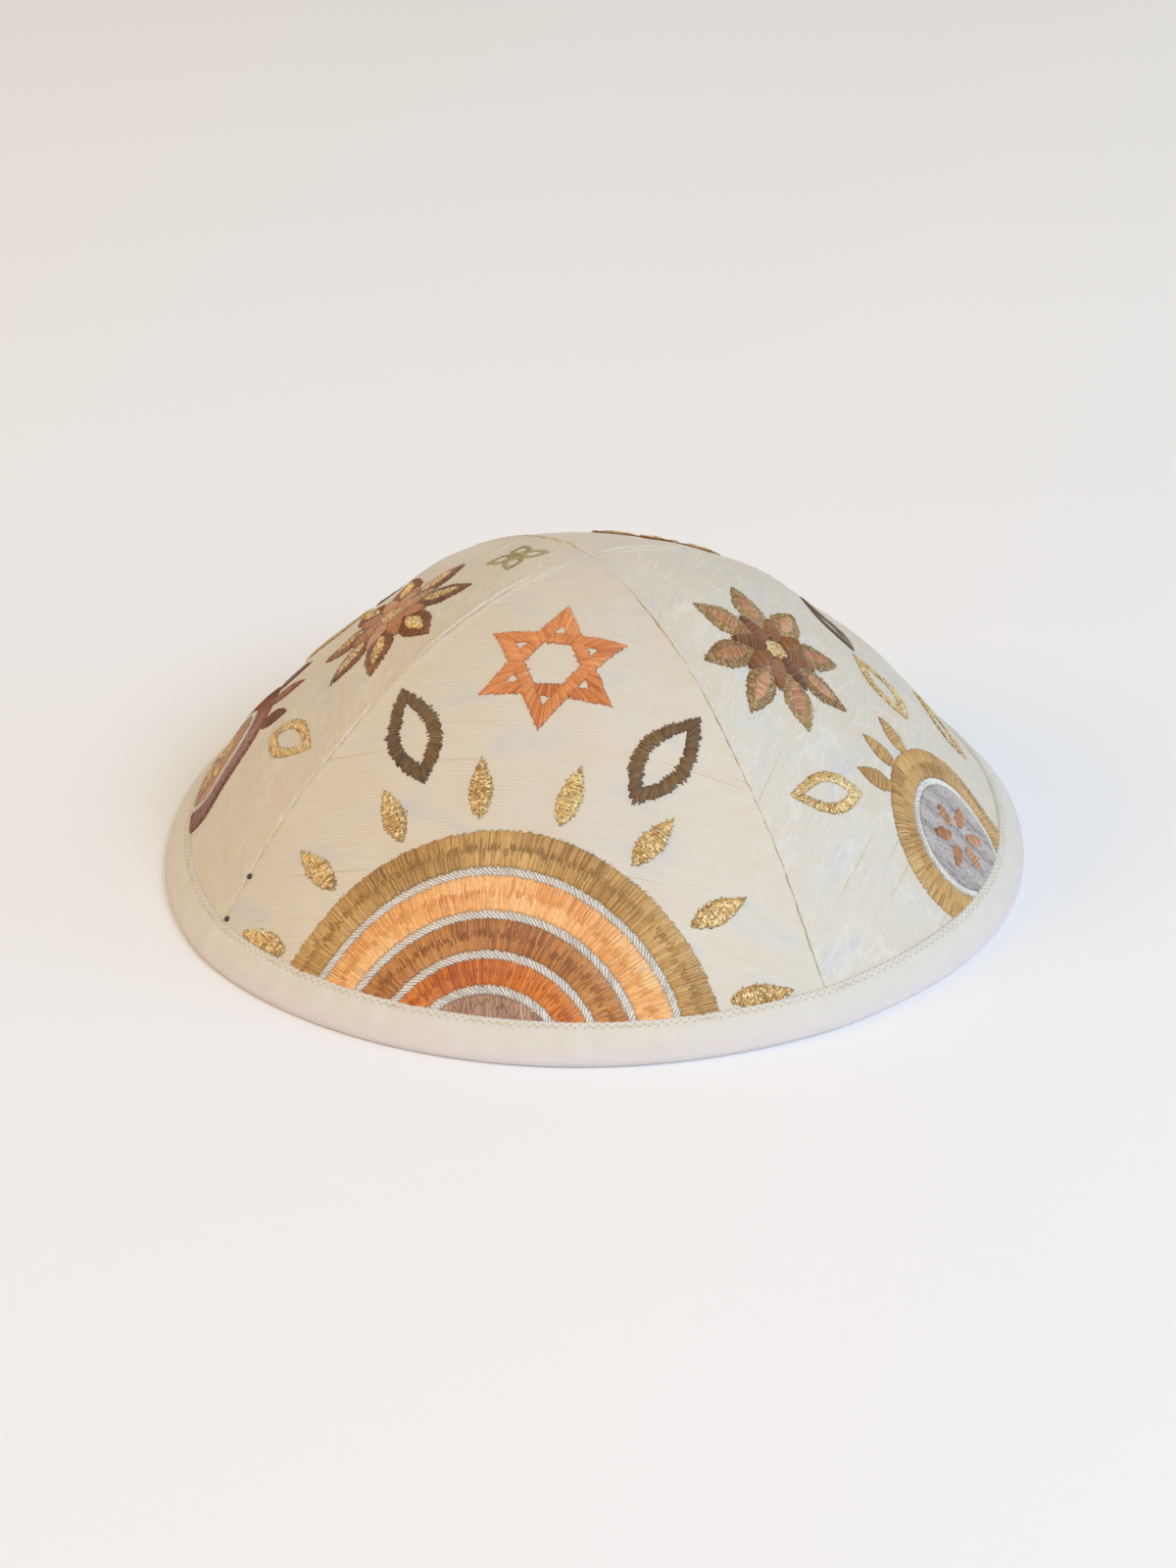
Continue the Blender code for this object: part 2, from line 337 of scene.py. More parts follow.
def dupioni_silk(name, colours, crinkled):
    """Dupioni silk, hand-reeled and plain woven: fine weft ribs that come and go, with painted shade between the ribs,
    a few thick slubs of gold, and a soft lustre. crinkled adds the small hard creases that such silk takes where it is
    pulled across its ribs, with painted highlights along them, and pale specks of painted highlight."""
    material, tree, shader = new_material(
        name, Roughness=0.52, Sheen_Weight=0.20, Sheen_Roughness=0.4, Specular_IOR_Level=0.40
    )
    flat = add_node(tree, "ShaderNodeUVMap", uv_map="flat_mm").outputs[0]
    # The ribs are really about 0.45 mm apart, which is too fine to show.
    rib_pitch = 0.70
    drift = scaled_noise(tree, flat, (34, 6), 3)
    split = add_node(tree, "ShaderNodeSeparateXYZ", {"Vector": flat})
    down = calculated(tree, "MULTIPLY_ADD", drift, 1.5, split.outputs["Y"])
    wave = calculated(tree, "SINE", calculated(tree, "MULTIPLY", down, tau / rib_pitch))
    strength = step_up(tree, scaled_noise(tree, flat, (5.5, 1.9), 2), 0.36, 0.66)
    strength = calculated(tree, "MULTIPLY_ADD", strength, 0.40, 0.20)
    rib = calculated(tree, "MULTIPLY_ADD", wave, strength, 0.5)
    thread = scaled_noise(tree, flat, (3.2, 0.34), 2)
    slub = step_up(tree, scaled_noise(tree, flat, (60, 1.1), 1), 0.715, 0.76)
    fine_slub = step_up(tree, scaled_noise(tree, flat, (15, 0.6), 1), 0.66, 0.80)
    tint = colour_ramp(
        tree,
        scaled_noise(tree, flat, (16, 9), 3),
        ((0.30, linear("#c1c4d2")), (0.46, linear("#dbd4c5")), (0.60, linear("#ddcdbb")), (0.74, linear("#d3c7a9"))),
    )
    # Painted shade between the ribs: the rib pattern darkens the colour towards the silk shade.
    ground = mixed(tree, calculated(tree, "MULTIPLY", rib, 0.60), colours.silk_painted_rib_shade, colours.silk)
    ground = mixed(tree, 0.45, ground, tint)
    ground = mixed(tree, calculated(tree, "MULTIPLY", thread, 0.34), ground, linear("#ede8dd"))
    ground = mixed(tree, calculated(tree, "MULTIPLY", fine_slub, 0.20), ground, colours.slub)
    ground = mixed(tree, calculated(tree, "MULTIPLY", slub, 0.42), ground, colours.slub)
    relief = calculated(tree, "MULTIPLY_ADD", slub, 1.0, rib)
    relief = calculated(tree, "MULTIPLY_ADD", thread, 0.7, relief)
    if crinkled:
        cells = add_node(
            tree,
            "ShaderNodeTexVoronoi",
            {"Vector": scaled_vector(tree, flat, (6.5, 3.4)), "Scale": 1.0, "Randomness": 1.0},
            feature="DISTANCE_TO_EDGE",
        )
        crease_and_painted_highlight = calculated(tree, "SUBTRACT", 1.0, step_up(tree, cells.outputs["Distance"], 0.0, 0.16))
        crease_and_painted_highlight = calculated(tree, "MULTIPLY", crease_and_painted_highlight, step_up(tree, scaled_noise(tree, flat, (9, 9), 2), 0.42, 0.62))
        # Pale specks of painted highlight, also raised a little in the relief.
        speck_and_painted_highlight = step_up(tree, scaled_noise(tree, flat, (0.95, 0.6), 2), 0.56, 0.74)
        ground = mixed(tree, calculated(tree, "MULTIPLY", speck_and_painted_highlight, 0.50), ground, linear("#f1eee6"))
        # Painted highlight along the creases, which are also real relief.
        ground = mixed(tree, calculated(tree, "MULTIPLY", crease_and_painted_highlight, 0.22), ground, linear("#f1ede3"))
        relief = calculated(tree, "MULTIPLY_ADD", crease_and_painted_highlight, 1.4, relief)
        relief = calculated(tree, "MULTIPLY_ADD", speck_and_painted_highlight, 0.8, relief)
    tree.links.new(ground, shader.inputs["Base Color"])
    bump = add_node(
        tree, "ShaderNodeBump", {"Height": relief, "Strength": 0.6, "Distance": 0.06 * MM}
    )
    tree.links.new(bump.outputs[0], shader.inputs["Normal"])
    return material


def backing_cloth(colours):
    """Plain-woven cotton backing, pressed: matt, with an even square weave."""
    material, tree, shader = new_material(
        "cream_cotton_backing", Roughness=0.85, Sheen_Weight=0.15, Specular_IOR_Level=0.3
    )
    flat = add_node(tree, "ShaderNodeUVMap", uv_map="flat_mm").outputs[0]
    thread_pitch = 0.9
    mapping = add_node(
        tree, "ShaderNodeMapping", {"Vector": flat, "Scale": (1 / thread_pitch, 1 / thread_pitch, 1)}
    )
    weave = add_node(tree, "ShaderNodeTexChecker", {"Vector": mapping.outputs[0], "Scale": 1.0})
    cloud = scaled_noise(tree, flat, (9, 9), 3)
    ground = mixed(tree, calculated(tree, "MULTIPLY", weave.outputs["Fac"], 0.10), colours.backing, linear("#b9ac94"))
    ground = mixed(tree, calculated(tree, "MULTIPLY", cloud, 0.25), ground, linear("#d5c8b0"))
    tree.links.new(ground, shader.inputs["Base Color"])
    bump = add_node(
        tree, "ShaderNodeBump", {"Height": weave.outputs["Fac"], "Strength": 0.4, "Distance": 0.05 * MM}
    )
    tree.links.new(bump.outputs[0], shader.inputs["Normal"])
    return material


def edge_turn(surface, stitches):
    """Degrees from one edge stitch to the next, so that an even number goes round."""
    return 180 / round(pi * surface.radius / stitches.edge_pitch)


def painted_hole_shadows(tree, split, surface, stitches):
    """1 where painted shadow marks each needle hole of the tape's zigzag: two rows, each hole between two others."""
    pitch = radians(edge_turn(surface, stitches)) * surface.radius / MM
    inset, half = stitches.edge_inset / MM, stitches.edge_zigzag / MM
    along = calculated(tree, "COSINE", calculated(tree, "MULTIPLY", split.outputs["X"], pi / pitch))
    below = calculated(tree, "SUBTRACT", inset, split.outputs["Y"])
    across = calculated(tree, "SINE", calculated(tree, "MULTIPLY", below, pi / (2 * half)))
    painted_hole_shadow = step_up(tree, calculated(tree, "MULTIPLY", along, across), 0.55, 0.85)
    past = step_up(tree, split.outputs["Y"], inset + 1.6 * half, inset + 2.0 * half)
    return calculated(tree, "MULTIPLY", painted_hole_shadow, calculated(tree, "SUBTRACT", 1.0, past))


def bias_tape(colours, surface, stitches):
    """Folded bias tape, woven cotton and silk cut on the bias and ironed: matt, with a fine diagonal twill; painted
    shade in its creases, a pinkish painted shade towards the fold, and painted shadow in each needle hole."""
    material, tree, shader = new_material(
        "ivory_bias_tape", Roughness=0.72, Sheen_Weight=0.25, Sheen_Roughness=0.5, Specular_IOR_Level=0.35
    )
    flat = add_node(tree, "ShaderNodeUVMap", uv_map="flat_mm").outputs[0]
    split = add_node(tree, "ShaderNodeSeparateXYZ", {"Vector": flat})
    diagonal = calculated(tree, "ADD", split.outputs["X"], split.outputs["Y"])
    other = calculated(tree, "SUBTRACT", split.outputs["X"], split.outputs["Y"])
    thread_pitch = 0.62
    first = calculated(tree, "SINE", calculated(tree, "MULTIPLY", diagonal, tau / thread_pitch))
    second = calculated(tree, "SINE", calculated(tree, "MULTIPLY", other, tau / thread_pitch))
    weave = calculated(tree, "MULTIPLY", first, second)
    cloud = scaled_noise(tree, flat, (8, 2.2), 3)
    fleck = scaled_noise(tree, flat, (0.8, 0.5), 2)
    # Painted shade in the creases: the tape darkens towards the tape shade where the cloud rises, as its relief does.
    ground = mixed(tree, calculated(tree, "MULTIPLY", cloud, 0.55), colours.tape, colours.tape_painted_crease_shade)
    ground = mixed(tree, calculated(tree, "MULTIPLY", fleck, 0.25), ground, linear("#ebe7df"))
    # Painted shade, tinted pink, on the lower part of the tape towards its fold round the rim.
    painted_fold_shade = step_up(tree, split.outputs["Y"], 4.0, 7.5)
    ground = mixed(tree, calculated(tree, "MULTIPLY", painted_fold_shade, 0.40), ground, linear("#d8ccd4"))
    painted_hole_shadow = painted_hole_shadows(tree, split, surface, stitches)
    # Painted shadow in each needle hole of the zigzag, darkening the tape.
    ground = mixed(tree, calculated(tree, "MULTIPLY", painted_hole_shadow, 0.65), ground, linear("#94836e"))
    tree.links.new(ground, shader.inputs["Base Color"])
    relief = calculated(tree, "MULTIPLY_ADD", cloud, 1.5, calculated(tree, "MULTIPLY", weave, 0.5))
    bump = add_node(tree, "ShaderNodeBump", {"Height": relief, "Strength": 0.6, "Distance": 0.06 * MM})
    tree.links.new(bump.outputs[0], shader.inputs["Normal"])
    return material


def sewing_thread(colours):
    """Spun polyester sewing thread: slightly fuzzy, satin."""
    material, tree, shader = new_material("cream_sewing_thread", Roughness=0.6, Sheen_Weight=0.3)
    place = add_node(tree, "ShaderNodeTexCoord").outputs["Object"]
    noise = add_node(tree, "ShaderNodeTexNoise", {"Vector": place, "Scale": 1 / (3 * MM), "Detail": 2.0})
    colour = mixed(tree, noise.outputs["Fac"], colours.sewing, linear("#d2c29c"))
    tree.links.new(colour, shader.inputs["Base Color"])
    return material


def embroidery_thread(name, hex_colours, metal, roughness, painted_glitter):
    """Twisted filament thread, rayon or metal-wrapped: each strand has its own tone, and painted shade darkens
    it where it dips into the cloth. A wrapped thread is speckled with painted glints and painted dark facets, as
    strongly as its glitter value."""
    material, tree, shader = new_material(
        name, Roughness=roughness, Metallic=metal, Sheen_Weight=0.25, Specular_IOR_Level=0.5
    )
    tone = add_node(tree, "ShaderNodeAttribute", attribute_name="tone").outputs["Fac"]
    last = max(len(hex_colours) - 1, 1)
    stops = [(i / last, linear(colour)) for i, colour in enumerate(hex_colours)]
    colour = colour_ramp(tree, tone, stops)
    place = add_node(tree, "ShaderNodeTexCoord").outputs["Object"]
    twist = add_node(tree, "ShaderNodeTexNoise", {"Vector": place, "Scale": 1 / (0.8 * MM), "Detail": 2.0})
    shade = colour_ramp(
        tree, twist.outputs["Fac"], ((0.32, (0.84, 0.84, 0.84, 1)), (0.66, (1.0, 1.0, 1.0, 1)))
    )
    colour = mixed(tree, 1.0, colour, shade, "MULTIPLY")
    if painted_glitter:
        # Painted glitter: glints and dark facets painted into the thread's colour, in place of real sparkle.
        facet = add_node(tree, "ShaderNodeTexVoronoi", {"Vector": place, "Scale": 1 / (0.42 * MM)})
        painted_glint = step_up(tree, facet.outputs["Color"], 0.62, 0.80)
        painted_facet_shade = step_up(tree, facet.outputs["Color"], 0.42, 0.22)
        colour = mixed(tree, calculated(tree, "MULTIPLY", painted_facet_shade, 0.75 * painted_glitter), colour, linear("#7d5a26"))
        colour = mixed(tree, calculated(tree, "MULTIPLY", painted_glint, painted_glitter), colour, linear("#ffeec2"))
    # Painted shade: each strand darkens towards its ends, where it dips into the cloth.
    lying = add_node(tree, "ShaderNodeAttribute", attribute_name="lying").outputs["Fac"]
    painted_dip_shade = calculated(tree, "MULTIPLY_ADD", step_up(tree, lying, 0.0, 0.5), 0.40, 0.60)
    colour = mixed(tree, 1.0, colour, painted_dip_shade, "MULTIPLY")
    tree.links.new(colour, shader.inputs["Base Color"])
    return material


def add_mesh_object(name, mesh, body="root"):
    made = bpy.data.objects.new(name, mesh)
    bpy.context.scene.collection.objects.link(made)
    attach(made, body)
    return made


def grid_faces(rows, columns, offset=0):
    """Quads of a grid of rows by columns points, numbered row by row."""
    first = np.arange(rows - 1)[:, None] * columns + np.arange(columns - 1)[None, :]
    quads = np.stack([first, first + 1, first + columns + 1, first + columns], axis=-1)
    return quads.reshape(-1, 4) + offset


def shell_mesh(name, points, faces, flats, materials, material_of_face, merge):
    """A closed mesh with its flat places as UVs, doubled points merged, normals out."""
    mesh = bpy.data.meshes.new(name)
    mesh.from_pydata(points.tolist(), [], faces.tolist())
    for material in materials:
        mesh.materials.append(material)
    mesh.polygons.foreach_set("material_index", material_of_face)
    layer = mesh.uv_layers.new(name="flat_mm")
    layer.data.foreach_set("uv", flats[faces.ravel()].ravel())
    mesh.polygons.foreach_set("use_smooth", [True] * len(faces))
    bm = bmesh.new()
    bm.from_mesh(mesh)
    bmesh.ops.remove_doubles(bm, verts=bm.verts, dist=merge)
    bmesh.ops.recalc_face_normals(bm, faces=bm.faces)
    bm.to_mesh(mesh)
    bm.free()
    return mesh


def gore_mesh(surface, sizes, index, materials):
    """One gore of cloth: its silk face, turned in along the seams, and its backing."""
    half = 45.0
    raw_level = surface.edge_levels(np.array([90.0 * index]), sizes.foot_lift, 0)[0][0]
    tip_reach = sizes.seam_gap / 2 / sin(radians(half))
    tip_level = tip_reach / surface.radius
    arc = np.interp([tip_level, raw_level], surface.levels, surface.arc)
    rows = 110
    row_levels = np.interp(np.linspace(arc[0], arc[1], rows), surface.arc, surface.levels)
    edge = np.array([0.0, 0.09, 0.22, 0.40, 0.65, 1.0]) * sizes.seam_roll
    core = np.linspace(-1, 1, 95)
    reach = surface.profile(90.0 * index + half, row_levels)[0][:, None]
    gap = sizes.seam_gap / 2
    room = np.minimum(1, 0.5 * (reach * sin(radians(half)) - gap) / sizes.seam_roll)
    room = np.maximum(room, 0)
    inset = np.degrees(np.arcsin(np.clip((gap + edge[None, :] * room) / reach, 0, sin(radians(half)))))
    left = -half + inset
    middle = core[None, 1:-1] * (half - inset[:, -1:])
    local = np.concatenate([left, middle, -left[:, ::-1]], axis=1)
    level = np.repeat(row_levels[:, None], local.shape[1], axis=1)
    azimuth = 90.0 * index + local
    x, y = surface.to_flat(local, level)
    seam_distance = reach * np.sin(np.radians(half - np.abs(local)))
    turned = np.clip(1 - (seam_distance - gap) / sizes.seam_roll, 0, 1)
    sink = 0.50 * sizes.seam_roll * (1 - np.sqrt(1 - turned**2)) * room
    lift = ripple(surface, index, local, x, y, seam_distance / MM)
    outer = surface.point(azimuth, level, lift - sink)
    inner = surface.point(azimuth, level, lift * 0.5 - surface.wall)
    count = outer.shape[1]
    points = np.concatenate([outer.reshape(-1, 3), inner.reshape(-1, 3)])
    flats = np.concatenate([np.stack([x, y], -1).reshape(-1, 2)] * 2)
    size = rows * count
    silk_faces = grid_faces(rows, count)
    backing_faces = grid_faces(rows, count, size)[:, ::-1]
    r = np.arange(rows - 1) * count
    sides = [np.stack([r + c, r + c + count, r + c + count + size, r + c + size], -1) for c in (0, count - 1)]
    sides[1] = sides[1][:, ::-1]
    c = np.arange(count - 1) + (rows - 1) * count
    foot = np.stack([c, c + 1, c + 1 + size, c + size], -1)
    faces = np.concatenate([silk_faces, backing_faces, *sides, foot])
    kinds = np.zeros(len(faces), dtype=int)
    kinds[len(silk_faces) : len(silk_faces) + len(backing_faces)] = 1
    return shell_mesh("silk_gore_" + GORES[index], points, faces, flats, materials, kinds, 0.00001)


def tape_mesh(surface, sizes, stitches, material):
    """The folded tape round the raw edges, drawn in along its stitch line."""
    stations = 900
    azimuth = np.linspace(TAPE_JOINT, TAPE_JOINT + 360, stations + 1)
    raw, top = surface.edge_levels(azimuth, sizes.foot_lift, sizes.tape_width)
    round_the_rim = np.radians(azimuth) * surface.radius / MM
    rng = np.random.default_rng(7)
    waves = sum(
        0.045 * np.sin(azimuth * pi / 180 * n + rng.uniform(0, tau)) for n in (23, 37, 52, 71, 95)
    )
    half_wall = surface.wall / 2
    width, thick = sizes.tape_width, sizes.tape_thickness
    inset = stitches.edge_inset
    pull = 0.5 + 0.5 * np.cos(pi * azimuth / edge_turn(surface, stitches))
    section = []
    up_leg = np.concatenate([[1.0, 0.995, 0.975, 0.94], np.linspace(0.90, 0.05, 18)])
    for share in up_leg:
        below_edge = (1 - share) * width
        puff = 0.20 * MM * sin(pi * min(1, below_edge / width)) ** 0.7
        dimple = np.exp(-(((below_edge - inset) / (0.5 * MM)) ** 2)) * (0.16 + 0.16 * pull) * MM
        rounded = thick * min(1, (below_edge / (0.45 * MM))) ** 0.5
        section.append((share, half_wall + 0.05 * MM + rounded + puff - dimple + waves * MM * min(1, below_edge / MM)))
    turns = np.linspace(0, 1, 17)[1:-1]
    points = []
    centre = surface.profile(azimuth, raw)
    out, up = surface.normal(azimuth, raw)
    centre_r, centre_z = centre[0] - out * half_wall, centre[1] - up * half_wall
    fold_radius = half_wall + 0.05 * MM + thick + 0.06 * MM

    def leg_points(side):
        made = []
        for share, offset in section:
            level = raw - (raw - top) * share
            made.append(surface.point(azimuth, level, side * offset - half_wall))
        return made

    points += leg_points(1)
    start = np.arctan2(up, out)
    for share in turns:
        turn = start - pi * share
        reach = centre_r + fold_radius * np.cos(turn)
        height = np.maximum(centre_z + fold_radius * np.sin(turn), 0.0)
        a = np.radians(azimuth)
        points.append(np.stack([reach * np.sin(a), -reach * np.cos(a), height], -1))
    points += leg_points(-1)[::-1]
    for side in (-1, 1):
        shares = (1.0, 0.5, 0.1) if side == -1 else (0.1, 0.5, 1.0)
        for share in shares:
            level = raw - (raw - top) * share
            points.append(surface.point(azimuth, level, side * (half_wall + 0.02 * MM) - half_wall))
    grid = np.stack(points, axis=1)
    count = grid.shape[1]
    grid = np.concatenate([grid, grid[:, :1]], axis=1)
    steps = np.linalg.norm(np.diff(grid, axis=1), axis=2).mean(axis=0) / MM
    down = np.concatenate([[0], np.cumsum(steps)])
    below = [(1 - share) * width for share, offset in section]
    down += inset / MM - np.interp(inset, below, down[: len(section)])
    flats = np.stack(np.broadcast_arrays(round_the_rim[:, None], down[None, :]), -1).reshape(-1, 2)
    faces = grid_faces(stations + 1, count + 1)
    kinds = np.zeros(len(faces), dtype=int)
    return shell_mesh("binding_tape", grid.reshape(-1, 3), faces, flats, [material], kinds, 0.000001)


def line_mesh(name, points, closed=False, attributes=None):
    """A mesh of separate lines: points of shape (lines, points, 3)."""
    lines, count = points.shape[:2]
    first = np.arange(lines * count).reshape(lines, count)
    edges = np.stack([first[:, :-1], first[:, 1:]], -1).reshape(-1, 2)
    if closed:
        edges = np.concatenate([edges, np.stack([first[:, -1], first[:, 0]], -1)])
    mesh = bpy.data.meshes.new(name)
    mesh.from_pydata(points.reshape(-1, 3).tolist(), edges.tolist(), [])
    for key, (kind, values) in (attributes or {}).items():
        layer = mesh.attributes.new(key, kind, "POINT")
        field = "value" if kind == "FLOAT" else "vector"
        layer.data.foreach_set(field, np.asarray(values, dtype=float).ravel())
    return mesh


def new_node_group(name, sockets):
    """A Geometry Nodes group with a geometry in and out and the named inputs."""
    tree = bpy.data.node_groups.new(name, "GeometryNodeTree")
    tree.interface.new_socket("Geometry", in_out="OUTPUT", socket_type="NodeSocketGeometry")
    tree.interface.new_socket("Geometry", in_out="INPUT", socket_type="NodeSocketGeometry")
    for label, kind in sockets:
        tree.interface.new_socket(label, in_out="INPUT", socket_type=kind)
    return tree, add_node(tree, "NodeGroupInput"), add_node(tree, "NodeGroupOutput")


def strand_tree():
    """Lays a round strand along every line."""
    found = bpy.data.node_groups.get("embroidery_strands")
    if found:
        return found
    tree, given, result = new_node_group(
        "embroidery_strands",
        (("Radius", "NodeSocketFloat"), ("Sides", "NodeSocketInt"), ("Thread", "NodeSocketMaterial")),
    )
    line = add_node(tree, "GeometryNodeMeshToCurve", {"Mesh": given.outputs["Geometry"]})
    ring = add_node(
        tree,
        "GeometryNodeCurvePrimitiveCircle",
        {"Resolution": given.outputs["Sides"], "Radius": given.outputs["Radius"]},
    )
    tube = add_node(
        tree,
        "GeometryNodeCurveToMesh",
        {"Curve": line.outputs[0], "Profile Curve": ring.outputs[0], "Fill Caps": False},
    )
    smooth = add_node(tree, "GeometryNodeSetShadeSmooth", {"Geometry": tube.outputs[0]})
    real = add_node(tree, "GeometryNodeRealizeInstances", {"Geometry": smooth.outputs[0]})
    dyed = add_node(
        tree,
        "GeometryNodeSetMaterial",
        {"Geometry": real.outputs[0], "Material": given.outputs["Thread"]},
    )
    tree.links.new(dyed.outputs[0], result.inputs[0])
    return tree


def stitch_tree():
    """Sets small raised stitches at even steps along every line."""
    tree, given, result = new_node_group(
        "sewn_stitches",
        (
            ("Pitch", "NodeSocketFloat"),
            ("Length", "NodeSocketFloat"),
            ("Thickness", "NodeSocketFloat"),
            ("Across", "NodeSocketFloat"),
            ("Thread", "NodeSocketMaterial"),
        ),
    )
    line = add_node(tree, "GeometryNodeMeshToCurve", {"Mesh": given.outputs["Geometry"]})
    steps = add_node(
        tree,
        "GeometryNodeResampleCurve",
        {"Curve": line.outputs[0], "Length": given.outputs["Pitch"]},
        mode="LENGTH",
    )
    tangent = add_node(tree, "GeometryNodeInputTangent").outputs[0]
    upward = add_node(tree, "GeometryNodeInputNamedAttribute", {"Name": "off_cloth"}, data_type="FLOAT_VECTOR")
    facing = add_node(
        tree, "FunctionNodeAlignRotationToVector", {"Vector": upward.outputs[0]}, axis="Z"
    )
    along = add_node(
        tree,
        "FunctionNodeAlignRotationToVector",
        {"Rotation": facing.outputs[0], "Vector": tangent},
        axis="X",
        pivot_axis="Z",
    )
    wobble = add_node(
        tree,
        "FunctionNodeRandomValue",
        {2: -0.10, 3: 0.10, "Seed": 5},
        data_type="FLOAT",
    )
    turn = add_node(tree, "ShaderNodeMath", {0: given.outputs["Across"], 1: wobble.outputs[1]}, operation="ADD")
    about = add_node(tree, "ShaderNodeCombineXYZ", {"Z": turn.outputs[0]})
    spun = add_node(
        tree,
        "FunctionNodeRotateRotation",
        {"Rotation": along.outputs[0], "Rotate By": about.outputs[0]},
        rotation_space="LOCAL",
    )
    bead = add_node(tree, "GeometryNodeMeshUVSphere", {"Segments": 8, "Rings": 6, "Radius": 0.5})
    size = add_node(
        tree,
        "ShaderNodeCombineXYZ",
        {"X": given.outputs["Length"], "Y": given.outputs["Thickness"], "Z": given.outputs["Thickness"]},
    )
    laid = add_node(
        tree,
        "GeometryNodeInstanceOnPoints",
        {
            "Points": steps.outputs[0],
            "Instance": bead.outputs[0],
            "Rotation": spun.outputs[0],
            "Scale": size.outputs[0],
        },
    )
    real = add_node(tree, "GeometryNodeRealizeInstances", {"Geometry": laid.outputs[0]})
    smooth = add_node(tree, "GeometryNodeSetShadeSmooth", {"Geometry": real.outputs[0]})
    dyed = add_node(
        tree,
        "GeometryNodeSetMaterial",
        {"Geometry": smooth.outputs[0], "Material": given.outputs["Thread"]},
    )
    tree.links.new(dyed.outputs[0], result.inputs[0])
    return tree


def apply_tree(name, mesh, tree, values):
    """Runs a node group on a mesh and keeps the result as a plain mesh object."""
    holder = bpy.data.objects.new(name + "_lines", mesh)
    bpy.context.scene.collection.objects.link(holder)
    modifier = holder.modifiers.new(tree.name, "NODES")
    modifier.node_group = tree
    for item in tree.interface.items_tree:
        if item.in_out == "INPUT" and item.name in values:
            modifier[item.identifier] = values[item.name]
    graph = bpy.context.evaluated_depsgraph_get()
    result = bpy.data.meshes.new_from_object(holder.evaluated_get(graph))
    bpy.data.objects.remove(holder)
    if not result.polygons:
        raise RuntimeError(name + " came out empty")
    result.name = name
    return add_mesh_object(name, result)


